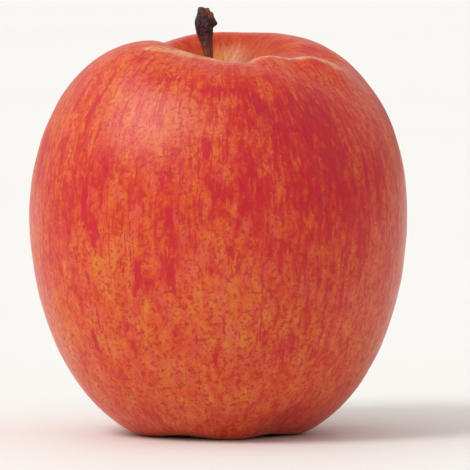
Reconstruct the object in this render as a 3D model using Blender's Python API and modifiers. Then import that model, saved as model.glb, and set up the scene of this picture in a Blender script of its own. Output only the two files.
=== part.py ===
"""A whole dessert apple standing on its own five feet, with its stalk and the dried flower parts in its eye.

Metres, +Z up. The origin is on the table, under the middle of the fruit. The front is -Y.
Azimuths are in degrees from the front, towards +X. Where the fruit is tallest, its rim, the stalk hollow
goes down inside it. The eye is the basin underneath, where the flower was.
"""

import math

import bmesh
import bpy
from mathutils import Matrix, Vector

# The fruit's outline
FRUIT_DIAMETER = 0.084  # across the waist
FRUIT_HEIGHT = 0.0860  # from the table to the rim's middle height
WAIST_HEIGHT = 0.0483  # where the fruit is widest
RIM_RADIUS = 0.0170  # of the circle where the fruit is tallest
FOOT_RADIUS = 0.0165  # of the circle that the fruit stands on
FOOT_WIDTH = 0.0026  # of the flat that each foot stands on
SHOULDER_FULLNESS = 2.0  # 2 is an elliptical flank, and less is more like a cone
BASE_FULLNESS = 1.56  # the same for the flank under the waist

# The stalk hollow
HOLLOW_DEPTH = 0.0140  # from the rim's middle height down to the floor
HOLLOW_FUNNEL = 0.80  # below 1 the hollow narrows quickly under its rim
SOCKET_RADIUS = 0.0019  # of the pit that the stalk grows out of
SOCKET_DEPTH = 0.0026

# The eye, which is the basin underneath
EYE_DEPTH = 0.0082  # from the table up to the basin's ceiling
EYE_RADIUS = 0.0052  # of the flat ceiling that carries the sepals
TUBE_RADIUS = 0.0024  # of the tube that holds the stamens and the styles
TUBE_DEPTH = 0.0024

# How the fruit departs from a turned shape
LOBES = 5
LOBE_AZIMUTH = 9.0  # of the foot nearest the front
FOOT_RISE = 0.0009  # of the arches between the feet
FOOT_PRESS = 0.0002  # how much of each foot the fruit's weight presses flat
FOOT_INSET = 0.0007  # how far the flank draws in between two feet
WAIST_INSET = 0.0003  # what is left of that at the waist
RIM_WAVES = (  # the rim's rise and fall: the crests in a turn, their height, and the azimuth of one of them
    (1, 0.0022, 192),
    (2, 0.0017, 140),
    (3, 0.0004, 59),
    (4, 0.0007, 25),
)

# The stalk
STALK_LENGTH = 0.0260  # from the floor of its socket to its broken end
STALK_LEAN = 0.00325  # of the broken end, towards -X
LEAN_CURVE = 1.5  # 1 is a straight lean, and more straightens up towards the end
NECK_RADIUS = 0.00105  # where the stalk is thinnest
HEAD_RADIUS = 0.00212  # of the swollen end
END_RADIUS = 0.00106  # of the broken end
NECK_SPAN = (0.30, 0.55)  # the shares of its length between which the stalk is thinnest
HEAD_SPAN = (0.87, 0.88)  # the same for where it is thickest
SCALE_HEIGHT = 0.0222  # of the scale that stands off the head, above the floor of the socket
SCALE_REACH = 0.0030  # of the scale's tip from the stalk's middle line
SCALE_RADIUS = 0.0019  # of the scale's root
SCALE_TIP_RADIUS = 0.0002

# The sepals, which are the dried leaves of the flower
SEPAL_LENGTH = 0.0058
SEPAL_WIDTH = 0.0029  # at the root
SEPAL_TIP_WIDTH = 0.0004
SEPAL_THICKNESS = 0.00055
SEPAL_LEAN = 0.0006  # how far a sepal leans over the tube before its tip curls out
SEPAL_CURL = 0.0019  # how far the tip curls out
SEPAL_CUP = 0.0003  # how far the root's edges stand out from its middle

# The stamens and the styles
STAMENS = 10
FILAMENT_LENGTH = 0.0034
FILAMENT_RADIUS = 0.00020
STAMEN_RING_WALL = 0.0007
STYLES = 5
COLUMN_LENGTH = 0.0030  # of the part where the styles are one
COLUMN_RADIUS = 0.00050
STYLE_LENGTH = 0.0016  # of each free end
STYLE_RADIUS = 0.00020
STYLE_SPREAD = 0.0004  # of the free ends' tips from the column's middle line

CLEARANCE = 0.0003  # between a piece and what it grows from

# How finely the solids are drawn
FRUIT_FACES = 60  # around the fruit, a multiple of LOBES, so that each foot gets the same flat
FLANK_STEPS = 11  # along each of its two flanks
HOLLOW_STEPS = 9
EYE_STEPS = 7
RING_FACES = 20  # around the stamens' ring
STALK_STEPS = 16

COLOURS = {
    "apple_skin": ((0.62, 0.13, 0.055), 0.38),
    "stalk_bark": ((0.075, 0.035, 0.03), 0.75),
    "dried_sepal": ((0.16, 0.09, 0.045), 0.85),
    "dried_filament": ((0.30, 0.17, 0.07), 0.85),
}


def smooth_step(low, high, value):
    """0 below low, 1 above high, and an even curve in between."""
    share = min(1.0, max(0.0, (value - low) / (high - low)))
    return share * share * (3 - 2 * share)


def at_azimuth(azimuth, radius, height):
    angle = math.radians(azimuth)
    return Vector((radius * math.sin(angle), -radius * math.cos(angle), height))


def material(name):
    made = bpy.data.materials.get(name) or bpy.data.materials.new(name)
    made.use_nodes = True
    colour, roughness = COLOURS[name]
    shader = made.node_tree.nodes["Principled BSDF"]
    shader.inputs["Base Color"].default_value = (*colour, 1)
    shader.inputs["Roughness"].default_value = roughness
    shader.inputs["Metallic"].default_value = 0
    return made


def new_object(name, data, collection):
    made = bpy.data.objects.new(name, data)
    collection.objects.link(made)
    return made


def mesh_object(name, shape, collection):
    """The object of a bmesh, which it frees."""
    mesh = bpy.data.meshes.new(name)
    shape.to_mesh(mesh)
    shape.free()
    return new_object(name, mesh, collection)


def settle(thing):
    """Makes the object the mesh that its modifiers or its curve give, with its caps welded."""
    bpy.context.view_layer.update()
    graph = bpy.context.evaluated_depsgraph_get()
    mesh = bpy.data.meshes.new_from_object(thing.evaluated_get(graph))
    mesh.transform(thing.matrix_world)
    collection = thing.users_collection[0]
    name = thing.name
    bpy.data.objects.remove(thing)
    shape = bmesh.new()
    shape.from_mesh(mesh)
    bmesh.ops.remove_doubles(shape, verts=shape.verts, dist=1e-6)
    bmesh.ops.recalc_face_normals(shape, faces=shape.faces)
    shape.to_mesh(mesh)
    shape.free()
    return new_object(name, mesh, collection)


def finish(thing, slot, sharp_degrees=40):
    thing.data.materials.append(material(slot))
    thing.data.shade_smooth()
    thing.data.set_sharp_from_angle(angle=math.radians(sharp_degrees))


def turned(name, profile, faces, collection):
    """A profile of (radius, height) points turned about the Z axis."""
    outline = bmesh.new()
    corners = [outline.verts.new((radius, 0, height)) for radius, height in profile]
    for first, second in zip(corners, corners[1:]):
        outline.edges.new((first, second))
    thing = mesh_object(name, outline, collection)
    turn = thing.modifiers.new("turned", "SCREW")
    turn.axis = "Z"
    turn.steps = turn.render_steps = faces
    turn.use_merge_vertices = True
    turn.merge_threshold = 1e-6
    return settle(thing)


def tapered_rod(name, start, end, radii, sides, collection):
    """A straight rod from start to end, with its two ends' radii."""
    shape = bmesh.new()
    along = end - start
    bmesh.ops.create_cone(
        shape, cap_ends=True, segments=sides, radius1=radii[0], radius2=radii[1], depth=along.length
    )
    turn = along.to_track_quat("Z", "Y").to_matrix().to_4x4()
    bmesh.ops.transform(shape, matrix=Matrix.Translation((start + end) / 2) @ turn, verts=shape.verts)
    return mesh_object(name, shape, collection)


def united(thing, others):
    """Unites thing with the others by Booleans. The others stay, as hidden helpers."""
    for other in others:
        other.hide_render = True
        other.display_type = "WIRE"
        union = thing.modifiers.new(f"with_{other.name}", "BOOLEAN")
        union.operation = "UNION"
        union.object = other
    return settle(thing)


# The fruit


def fruit_profile():
    """Half of the fruit's section, as (radius, height), from the stalk's socket over the rim to the eye."""
    waist = FRUIT_DIAMETER / 2
    foot_outside = FOOT_RADIUS + FOOT_WIDTH / 2
    foot_inside = FOOT_RADIUS - FOOT_WIDTH / 2
    hollow_floor = FRUIT_HEIGHT - HOLLOW_DEPTH
    socket_floor = hollow_floor - SOCKET_DEPTH
    points = [(0, socket_floor), (SOCKET_RADIUS, socket_floor), (SOCKET_RADIUS, hollow_floor)]
    for step in range(1, HOLLOW_STEPS):
        share = step / HOLLOW_STEPS
        radius = SOCKET_RADIUS + (RIM_RADIUS - SOCKET_RADIUS) * share
        drop = 0.5 + 0.5 * math.cos(math.pi * share**HOLLOW_FUNNEL)
        points.append((radius, FRUIT_HEIGHT - HOLLOW_DEPTH * drop))
    for step in range(FLANK_STEPS + 1):
        angle = math.pi / 2 * step / FLANK_STEPS
        out = math.sin(angle) ** (2 / SHOULDER_FULLNESS)
        height = WAIST_HEIGHT + (FRUIT_HEIGHT - WAIST_HEIGHT) * math.cos(angle)
        points.append((RIM_RADIUS + (waist - RIM_RADIUS) * out, height))
    for step in range(1, FLANK_STEPS):
        angle = math.pi / 2 * step / FLANK_STEPS
        out = math.cos(angle) ** (2 / BASE_FULLNESS)
        points.append((foot_outside + (waist - foot_outside) * out, WAIST_HEIGHT * (1 - math.sin(angle))))
    points.append((foot_outside, 0))
    for step in range(EYE_STEPS + 1):
        share = step / EYE_STEPS
        rise = 0.5 - 0.5 * math.cos(math.pi * share)
        points.append((foot_inside + (EYE_RADIUS - foot_inside) * share, EYE_DEPTH * rise))
    ceiling = EYE_DEPTH + TUBE_DEPTH
    points += [(TUBE_RADIUS, EYE_DEPTH), (TUBE_RADIUS, ceiling), (0, ceiling)]
    return points


def rim_rise(azimuth):
    """How far above its middle height the rim is at an azimuth."""
    return sum(height * math.cos(math.radians(crests * (azimuth - at))) for crests, height, at in RIM_WAVES)


def shaped(point):
    """Where a point of the turned fruit goes on the grown one, with its feet and its uneven rim."""
    radius = math.hypot(point.x, point.y)
    if radius < 1e-9:
        return point.copy()
    azimuth = math.degrees(math.atan2(point.x, -point.y))
    height = point.z
    near_rim = smooth_step(WAIST_HEIGHT, FRUIT_HEIGHT, height)
    if radius < RIM_RADIUS and height > WAIST_HEIGHT:
        near_rim = smooth_step(SOCKET_RADIUS, RIM_RADIUS, radius)

    # The arches fade out up the flank, and towards the middle of the eye, whose ceiling stays flat.
    between_feet = 0.5 - 0.5 * math.cos(math.radians(LOBES * (azimuth - LOBE_AZIMUTH)))
    near_foot = 1 - smooth_step(0, WAIST_HEIGHT / 2, height)
    below_waist = 1 - smooth_step(0, WAIST_HEIGHT, height)
    off_eye = smooth_step(EYE_RADIUS, FOOT_RADIUS, radius)
    inset = WAIST_INSET + (FOOT_INSET - WAIST_INSET) * below_waist
    radius -= inset * between_feet * off_eye * (1 - near_rim)
    height += (FOOT_RISE * between_feet - FOOT_PRESS) * near_foot * off_eye
    height += rim_rise(azimuth) * near_rim
    return at_azimuth(azimuth, radius, max(0.0, height))


def build_fruit(parts):
    fruit = turned("apple_fruit", fruit_profile(), FRUIT_FACES, parts)
    for vertex in fruit.data.vertices:
        vertex.co = shaped(vertex.co)
    finish(fruit, "apple_skin", sharp_degrees=60)


# The stalk


def stalk_point(share):
    """A point of the stalk's middle line, from its root at 0 to its broken end at 1."""
    root = FRUIT_HEIGHT - HOLLOW_DEPTH - SOCKET_DEPTH + CLEARANCE
    lean = STALK_LEAN * (1 - (1 - share) ** LEAN_CURVE) * smooth_step(0, NECK_SPAN[0], share)
    return Vector((-lean, 0, root + (STALK_LENGTH - CLEARANCE) * share))


def stalk_radius(share):
    """The root fills its socket, the neck is thin, and the head swells and then tapers to the broken end."""
    flare = (SOCKET_RADIUS - CLEARANCE - NECK_RADIUS) * (1 - smooth_step(0.1, NECK_SPAN[0], share))
    swell = (HEAD_RADIUS - NECK_RADIUS) * smooth_step(NECK_SPAN[1], HEAD_SPAN[0], share)
    taper = (HEAD_RADIUS - END_RADIUS) * smooth_step(HEAD_SPAN[1], 1, share)
    return NECK_RADIUS + flare + swell - taper


def build_stalk(parts, helpers):
    curve = bpy.data.curves.new("stalk", "CURVE")
    curve.dimensions = "3D"
    curve.bevel_depth = 1.0  # so that each point's radius is in metres
    curve.bevel_resolution = 4
    curve.use_fill_caps = True
    path = curve.splines.new("POLY")
    path.points.add(STALK_STEPS)
    for index, point in enumerate(path.points):
        share = index / STALK_STEPS
        point.co = (*stalk_point(share), 1)
        point.radius = stalk_radius(share)
    stalk = settle(new_object("stalk", curve, parts))

    root = stalk_point((SCALE_HEIGHT - CLEARANCE) / (STALK_LENGTH - CLEARANCE))
    tip = root + Vector((SCALE_REACH, 0, 0))
    scale = tapered_rod("scale", root, tip, (SCALE_RADIUS, SCALE_TIP_RADIUS), 10, helpers)
    finish(united(stalk, [scale]), "stalk_bark")


# The flower parts in the eye


def sepal_sheet(parts):
    """One sepal with its root at the origin, hanging down -Z, its width along X, and curling out to -Y."""
    across, along = 2, 5
    sheet = bmesh.new()
    rows = []
    for step in range(along + 1):
        share = step / along
        half_width = (SEPAL_WIDTH - (SEPAL_WIDTH - SEPAL_TIP_WIDTH) * share**1.6) / 2
        lean = SEPAL_LEAN * math.sin(math.pi * share)
        curl = SEPAL_CURL * share**2.6
        row = []
        for side in (2 * column / across - 1 for column in range(across + 1)):
            cup = SEPAL_CUP * side * side * (1 - share)
            row.append(sheet.verts.new((half_width * side, cup + lean - curl, -SEPAL_LENGTH * share)))
        rows.append(row)
    for upper, lower in zip(rows, rows[1:]):
        for column in range(across):
            sheet.faces.new((upper[column], lower[column], lower[column + 1], upper[column + 1]))
    return mesh_object("sepal_1", sheet, parts)


def build_sepals(parts):
    """Five sepals around the mouth of the tube, one over each foot."""
    first = sepal_sheet(parts)
    sepals = [first]
    for number in range(2, LOBES + 1):
        sepals.append(new_object(f"sepal_{number}", first.data.copy(), parts))
    root_radius = TUBE_RADIUS + CLEARANCE + SEPAL_THICKNESS + SEPAL_LEAN
    for number, sepal in enumerate(sepals):
        azimuth = LOBE_AZIMUTH + 360 / LOBES * number
        sepal.location = at_azimuth(azimuth, root_radius, EYE_DEPTH - CLEARANCE)
        sepal.rotation_euler.z = math.radians(azimuth)
        thick = sepal.modifiers.new("thick", "SOLIDIFY")
        thick.thickness = SEPAL_THICKNESS
        thick.offset = 0
        soft = sepal.modifiers.new("soft", "SUBSURF")
        soft.levels = soft.render_levels = 1
        finish(sepal, "dried_sepal")


def build_stamens(parts, helpers):
    """The dried stamens, which stand on one ring inside the mouth of the tube."""
    outer = TUBE_RADIUS - CLEARANCE
    inner = outer - STAMEN_RING_WALL
    top = EYE_DEPTH + TUBE_DEPTH - CLEARANCE
    corners = [(inner, top), (outer, top), (outer, EYE_DEPTH), (inner, EYE_DEPTH), (inner, top)]
    ring = turned("stamens", corners, RING_FACES, parts)
    threads = []
    for number in range(STAMENS):
        azimuth = 360 / STAMENS * number
        root = at_azimuth(azimuth, (outer + inner) / 2, (EYE_DEPTH + top) / 2)
        tip = at_azimuth(azimuth, (outer + inner) / 2 - FILAMENT_RADIUS, EYE_DEPTH - FILAMENT_LENGTH)
        radii = (FILAMENT_RADIUS, FILAMENT_RADIUS)
        threads.append(tapered_rod(f"filament_{number + 1}", root, tip, radii, 6, helpers))
    finish(united(ring, threads), "dried_filament")


def build_styles(parts, helpers):
    """The styles, one column that parts into free ends."""
    top = Vector((0, 0, EYE_DEPTH + TUBE_DEPTH - CLEARANCE))
    fork = top - Vector((0, 0, COLUMN_LENGTH))
    column = tapered_rod("styles", top, fork, (COLUMN_RADIUS, COLUMN_RADIUS), 8, parts)
    ends = []
    for number in range(STYLES):
        azimuth = 360 / STYLES * number
        root = fork + at_azimuth(azimuth, STYLE_SPREAD / 2, STYLE_LENGTH / 3)
        tip = fork + at_azimuth(azimuth, STYLE_SPREAD, -STYLE_LENGTH)
        ends.append(tapered_rod(f"style_{number + 1}", root, tip, (STYLE_RADIUS, STYLE_RADIUS), 6, helpers))
    finish(united(column, ends), "dried_filament")


def new_collection(name):
    made = bpy.data.collections.new(name)
    bpy.context.scene.collection.children.link(made)
    return made


def main():
    for thing in list(bpy.data.objects):
        bpy.data.objects.remove(thing)
    parts = new_collection("apple")
    helpers = new_collection("joined_shapes")
    build_fruit(parts)
    build_stalk(parts, helpers)
    build_sepals(parts)
    build_stamens(parts, helpers)
    build_styles(parts, helpers)


main()
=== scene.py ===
import math
import random

import bmesh
import bpy
import numpy as np
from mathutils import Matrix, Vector


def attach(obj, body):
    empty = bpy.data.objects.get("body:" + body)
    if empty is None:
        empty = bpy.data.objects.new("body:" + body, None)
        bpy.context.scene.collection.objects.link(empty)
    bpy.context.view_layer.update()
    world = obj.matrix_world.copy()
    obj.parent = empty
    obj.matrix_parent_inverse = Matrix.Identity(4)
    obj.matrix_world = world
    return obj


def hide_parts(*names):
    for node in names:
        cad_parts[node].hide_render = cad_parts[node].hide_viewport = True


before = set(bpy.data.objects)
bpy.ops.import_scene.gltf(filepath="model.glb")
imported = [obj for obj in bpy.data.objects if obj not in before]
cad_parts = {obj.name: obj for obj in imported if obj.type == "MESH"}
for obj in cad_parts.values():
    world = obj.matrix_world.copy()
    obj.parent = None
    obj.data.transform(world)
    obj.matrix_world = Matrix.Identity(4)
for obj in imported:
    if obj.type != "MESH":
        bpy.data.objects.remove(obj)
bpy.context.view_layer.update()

mm = 0.001
eased = {"interpolation_type": "SMOOTHSTEP"}  # makes a Map Range start and end softly


# Small helpers

def linearColour(hexColour):
    channels = [int(hexColour[at:at + 2], 16) / 255 for at in (1, 3, 5)]
    return (*[c / 12.92 if c <= 0.04045 else ((c + 0.055) / 1.055) ** 2.4 for c in channels], 1.0)


def addNode(tree, kind, settings=None, links=None):
    node = tree.nodes.new(kind)
    # the node's own choices come first, because they change its sockets
    for name, value in (settings or {}).items():
        if isinstance(name, str) and name not in node.inputs:
            setattr(node, name, value)
    for name, value in (settings or {}).items():
        if isinstance(name, int) or name in node.inputs:
            isColour = isinstance(value, str) and value.startswith("#")
            node.inputs[name].default_value = linearColour(value) if isColour else value
    for name, source in (links or {}).items():
        tree.links.new(source, node.inputs[name])
    return node


def newMaterial(name):
    made = bpy.data.materials.new(name)
    made.use_nodes = True
    made.node_tree.nodes.clear()
    return made, made.node_tree


def activate(piece):
    if bpy.context.object and bpy.context.object.mode != "OBJECT":
        bpy.ops.object.mode_set(mode="OBJECT")
    bpy.ops.object.select_all(action="DESELECT")
    piece.select_set(True)
    bpy.context.view_layer.objects.active = piece


def selectWhere(piece, test):
    shape = bmesh.from_edit_mesh(piece.data)
    shape.verts.index_update()
    for part in (*shape.faces, *shape.edges, *shape.verts):
        part.select = False
    for vertex in shape.verts:
        vertex.select = bool(test(vertex))
    shape.select_flush_mode()
    bmesh.update_edit_mesh(piece.data)


def applyModifier(piece, name, kind, **settings):
    activate(piece)
    modifier = piece.modifiers.new(name, kind)
    for key, value in settings.items():
        setattr(modifier, key, value)
    bpy.ops.object.modifier_apply(modifier=modifier.name)


def smoothStep(low, high, value):
    share = np.clip((value - low) / (high - low), 0, 1)
    return share * share * (3 - 2 * share)


def writeAttribute(mesh, name, kind, values):
    attribute = mesh.attributes.new(name, kind, "POINT")
    key = "vector" if kind == "FLOAT_VECTOR" else "value"
    attribute.data.foreach_set(key, np.asarray(values, np.float32).ravel())


def addClouds(name, size, depth):
    clouds = bpy.data.textures.new(name, "CLOUDS")
    clouds.noise_scale = size
    clouds.noise_depth = depth
    return clouds


def finishPiece(piece, name, nodes, material, smoothAngle=180):
    piece.name = piece.data.name = name
    piece.data.materials.clear()
    piece.data.materials.append(material)
    activate(piece)
    bpy.ops.object.shade_smooth_by_angle(angle=math.radians(smoothAngle), keep_sharp_edges=False)
    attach(piece, "root")
    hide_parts(*nodes)
    return piece


def extrudeRings(sides, rings, turn=0):
    # each ring is its height, the middle's place across and towards the back, half its width and half its
    # depth, all in mm; turn is by how many degrees each one is turned from the one before
    height, x, y, wide, deep = rings[0]
    start = (x * mm, y * mm, height * mm)
    bpy.ops.mesh.primitive_circle_add(vertices=sides, radius=1 * mm, fill_type="NGON", location=start)
    piece = bpy.context.object
    bpy.ops.object.transform_apply(location=True, rotation=True, scale=True)
    bpy.ops.object.mode_set(mode="EDIT")
    bpy.ops.mesh.select_all(action="SELECT")
    bpy.ops.transform.resize(value=(wide, deep, 1), center_override=start)
    for before, ring in zip(rings, rings[1:]):
        height, x, y, wide, deep = ring
        middle = (x * mm, y * mm, height * mm)
        step = ((x - before[1]) * mm, (y - before[2]) * mm, (height - before[0]) * mm)
        bpy.ops.mesh.extrude_region_move(TRANSFORM_OT_translate={"value": step})
        bpy.ops.transform.resize(value=(wide / before[3], deep / before[4], 1), center_override=middle)
        if turn:
            bpy.ops.transform.rotate(value=math.radians(turn), orient_axis="Z", center_override=middle)
    bpy.ops.mesh.select_all(action="SELECT")
    bpy.ops.mesh.normals_make_consistent(inside=False)
    bpy.ops.object.mode_set(mode="OBJECT")
    return piece


def joinAll(pieces):
    activate(pieces[0])
    for piece in pieces:
        piece.select_set(True)
    bpy.ops.object.join()
    bpy.ops.object.transform_apply(location=True, rotation=True, scale=True)
    return pieces[0]


# The camera, from a little above the table

camera = {
    "azimuth": 0, "elevation": 3.5,  # degrees
    "distance": 1.5, "aim": (0.0038, 0, 0.0443), "width": 0.105,  # metres; width is what it takes in there
    "sensor": 36,  # mm
}


def addCamera():
    bpy.ops.object.camera_add()
    made = bpy.context.object
    turn, tilt = math.radians(camera["azimuth"]), math.radians(camera["elevation"])
    back = Vector((math.sin(turn) * math.cos(tilt), -math.cos(turn) * math.cos(tilt), math.sin(tilt)))
    made.location = Vector(camera["aim"]) + back * camera["distance"]
    made.rotation_euler = (-back).to_track_quat("-Z", "Y").to_euler()
    made.data.sensor_width = camera["sensor"]
    made.data.lens = camera["sensor"] * camera["distance"] / camera["width"]
    made.data.clip_end = 50  # past the floor's far edge
    bpy.context.scene.camera = made


addCamera()
print("camera placed")


# The fruit: the CAD skin, rounded and made a little uneven

fruit = {
    "waistRadius": 42.0,  # mm
    "core": (18.0, 44.0),  # radius and height, in mm, of the ring that the profile goes round
    "waistHeight": 48.3,
    "fuller": 0.50,  # mm, what the rounding takes away is put back
    "bumps": ((11, 0.16), (4.5, 0.05)),  # size and depth of the uneven spots, in mm
    # heights and distances from the stalk, in mm, over which the skin goes from left alone to fully uneven
    "aboveFeet": (1.5, 12), "roundPit": (3.0, 8.0),
    # soft pushes that give the lobes their shape: place, push and reach, in mm
    "pushes": [
        ((11.5, -14.5, 83.0), (0.2, 0.0, 1.5), 7.0), ((18.0, -11.5, 82.5), (0.2, 0.0, 1.0), 8.0),
        ((22.5, -10.5, 81.5), (0.3, 0.0, 1.8), 8.5), ((27.0, -8.0, 80.0), (0.4, 0.0, 1.0), 8.0),
        ((3.8, -15.0, 83.0), (0.0, 0.0, -1.5), 5.5), ((-4.0, -14.5, 83.5), (0.0, 0.0, 0.6), 7.0),
        ((-10.5, -13.0, 85.0), (0.0, 0.0, 0.2), 8.0), ((23.5, 0.0, 82.5), (0.0, 0.0, -1.0), 7.5),
        ((26.5, 10.0, 81.5), (0.5, 0.2, 0.5), 15.0), ((36.5, -1.0, 72.0), (0.70, 0.0, 0.40), 22.0),
        ((2.5, -26.0, 1.6), (0.0, 0.7, 0.7), 7.5), ((14.5, -20.0, 1.6), (-0.3, 0.5, 0.8), 9.0),
    ],
    # the line along the lip that is painted pale, seen from above, and its width at each point, in mm: a
    # painted highlight where the crest catches the light, and where it widens in the front valley also the
    # hollow's own pale skin
    "lipHighlightLine": [(-16.0, -15.8, 0.7), (-12.0, -16.5, 1.0), (-7.8, -17.2, 1.3), (-4.0, -17.6, 1.4),
                 (2.5, -17.4, 3.0), (6.5, -16.6, 2.4), (9.5, -15.2, 1.2), (15.0, -13.2, 0.9),
                 (20.5, -11.4, 1.0), (25.5, -9.8, 1.5)],
    "paleTowards": 168,  # degrees from the front
    # streaks and patches of the sides and the back: how many, and from where to where in degrees
    "moreStreaks": (120, 62, 298), "morePatches": (34, 72, 288), "seed": 5,
    # broad streaks of deep red that the eye picks out, each as azimuth in degrees from the front,
    # millimetres along the skin above the waist, width and length in mm, and how strong it is
    "streaks": [
        (-44, 4, 1.9, 12, .95), (-25, -10, 2.0, 9, .85), (-14, -11, 2.2, 12, .80), (-49, 26, 2.6, 10, .8),
        (-40, -2, 3.6, 9, .75), (-4, 18, 2.4, 8, .85), (-46, -27, 2.2, 8, .8), (-14, 2, 3.4, 8, .62),
        (15, 31, 2.6, 10, .8), (-19, 38, 6.5, 5, .6), (-30, 39, 6.5, 5, .5), (-1, 34, 7.0, 6, .7),
        (-17, 11, 2.0, 8, .7), (4, 34, 7.0, 6, .6), (-1, -31, 2.6, 7, .7), (4, -5, 2.4, 7, .7),
        (-31, 9, 2.4, 7, .5), (23, 30, 2.6, 8, .7), (15, -26, 3.0, 8, .6), (30, 32, 2.2, 8, .7),
        (32, 22, 3.2, 9, .75), (66, -36, 2.2, 5, .4), (35, 0, 4.0, 13, .6), (10, 29, 3.0, 6, .6),
        (-27, 2, 2.0, 8, .55), (53, 12, 2.6, 10, .7), (-13, 18, 1.8, 8, .4), (41, 30, 3.0, 8, .6),
        (-31, -23, 2.2, 8, .6), (-56, 14, 1.6, 8, .6), (10, 14, 3.2, 9, .7), (-2, -8, 1.8, 8, .6),
        (-7, -24, 1.8, 11, .5), (-20, -30, 1.6, 9, .5), (8, -36, 1.8, 9, .5), (-42, -20, 1.8, 10, .5),
        (47, 16, 1.4, 14, .7), (43, 22, 1.2, 10, .6), (19, 22, .9, 12, .8), (21, 20, .9, 13, .7),
        (41, 5, 2.0, 10, .5), (20, -8, 1.6, 10, .45), (28, -20, 1.8, 8, .4),
    ],
    # soft patches where the red is denser or thinner: azimuth in degrees, then place along the skin,
    # half width and half height in mm, and how much redder. The thinner patches high on the front left
    # shoulder (-20, 22 and -33, 20) and the small one on the right shoulder (24, 34) are painted highlight
    # where the softbox shines; the redder ones low at the base (-8, -54 and 35, -53) are painted shade.
    "patches": [
        (-48, 10, 14, 20, .24), (38, 16, 14, 24, .26), (5, 30, 26, 9, .24), (-38, -36, 16, 12, -.25),
        (62, 5, 14, 28, .08), (-20, 22, 9, 8, -.30), (-33, 20, 8, 8, -.25), (0, -16, 7, 6, -.30),
        (-33, -6, 6, 6, -.26), (7, -24, 6, 5, -.24), (1, -2, 4, 4, -.26), (-34, 0, 5, 5, -.20),
        (-20, -23, 9, 7, -.24), (-47, -12, 7, 6, -.26), (50, -24, 8, 7, -.24), (23, -40, 8, 5, -.26),
        (-66, -30, 10, 8, -.28), (-74, 36, 20, 12, -.45), (-15, -40, 14, 8, -.24), (14, -12, 6, 7, -.16),
        (27, 4, 5, 8, .12), (-14, 0, 8, 14, .16), (12, 10, 9, 16, .20), (24, 34, 3, 5, -.20),
        (0, 24, 4, 5, -.12), (41, 13, 7, 15, .14), (-8, -54, 30, 4, .15), (35, -53, 14, 5, .15),
    ],
    # the skin's mottle: the size of its spots across and along the fruit in mm, and how much each counts
    "mottle": [
        {"size": (0.50, 0.62), "detail": 1, "weight": 0.36},
        {"size": (0.95, 1.60), "detail": 1, "weight": 0.60},
        {"size": (1.8, 3.4), "detail": 1, "weight": 0.82},
        {"size": (3.8, 8.5), "detail": 2, "weight": 0.66},
        {"size": (9.0, 20.0), "detail": 1, "weight": 0.40},
    ],
    # from the reddest skin to the yellowest, each colour with its place on the mottle's scale
    "mottleColours": [
        (0.10, "#be1a2e"), (0.30, "#ca3727"), (0.50, "#d35128"), (0.70, "#d5642b"), (0.96, "#d67c35"),
    ],
    # marks over the mottle, first a pinkish bloom and then red dashes: their size in mm, where they fade
    # in, how much the blush adds to them, how strong they get and their colour
    "dashes": [
        {"size": (2.4, 4.6), "detail": 3, "roughness": 0.6, "fade": (0.46, 0.66), "blushAndPaintedLight": -0.06,
         "strength": 0.46, "colour": "#d9634f"},
        {"size": (0.70, 4.2), "detail": 4, "roughness": 0.6, "fade": (0.55, 0.63), "blushAndPaintedLight": 0.15,
         "strength": 0.72, "colour": "#c21c30"},
        {"size": (1.9, 8.0), "detail": 4, "roughness": 0.6, "fade": (0.57, 0.67), "blushAndPaintedLight": 0.16,
         "strength": 0.70, "colour": "#c4212d"},
    ],
    "layerShift": (17.3, 5.1, 3.7),  # moves each layer's noise aside, so that no two line up
    # dark specks: their size in mm, where they fade in, and how strong they get
    "specks": [(1.05, 0.55, 0.66, 0.62), (0.72, 0.57, 0.68, 0.52)],
}


def makeFruit():
    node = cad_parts["apple_fruit"]
    piece = bpy.data.objects.new("appleSkin", node.data.copy())
    bpy.context.scene.collection.objects.link(piece)
    activate(piece)
    bpy.ops.object.mode_set(mode="EDIT")
    bpy.ops.mesh.select_all(action="SELECT")
    bpy.ops.mesh.customdata_custom_splitnormals_clear()
    bpy.ops.mesh.remove_doubles(threshold=1e-6)
    bpy.ops.mesh.mark_sharp(clear=True)
    bpy.ops.mesh.tris_convert_to_quads(face_threshold=math.radians(70), shape_threshold=math.radians(70))
    bpy.ops.object.mode_set(mode="OBJECT")
    applyModifier(piece, "rounder", "SUBSURF", levels=2, render_levels=2)

    bpy.ops.object.mode_set(mode="EDIT")
    for place, push, reach in fruit["pushes"]:
        # the nearest point is looked for on the skin as it was before the first push
        target = Vector(place) * mm
        nearest = min(piece.data.vertices, key=lambda vertex: (vertex.co - target).length).index
        selectWhere(piece, lambda vertex: vertex.index == nearest)
        bpy.ops.transform.translate(value=[part * mm for part in push], use_proportional_edit=True,
                                    proportional_edit_falloff="SMOOTH", proportional_size=reach * mm)
    bpy.ops.object.mode_set(mode="OBJECT")

    # the five feet and the pit around the stalk stay as they are
    group = piece.vertex_groups.new(name="uneven")
    for vertex in piece.data.vertices:
        x, y, z = vertex.co / mm
        weight = float(smoothStep(*fruit["aboveFeet"], z) * smoothStep(*fruit["roundPit"], math.hypot(x, y)))
        group.add([vertex.index], weight, "REPLACE")
    applyModifier(piece, "fuller", "DISPLACE", strength=fruit["fuller"] * mm, mid_level=0,
                  vertex_group="uneven")
    for number, (size, depth) in enumerate(fruit["bumps"]):
        clouds = addClouds(f"uneven skin {number}", size * mm, 1)
        applyModifier(piece, "uneven", "DISPLACE", texture=clouds, strength=depth * 2 * mm, mid_level=0.5,
                      vertex_group="uneven")
    return piece


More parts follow.
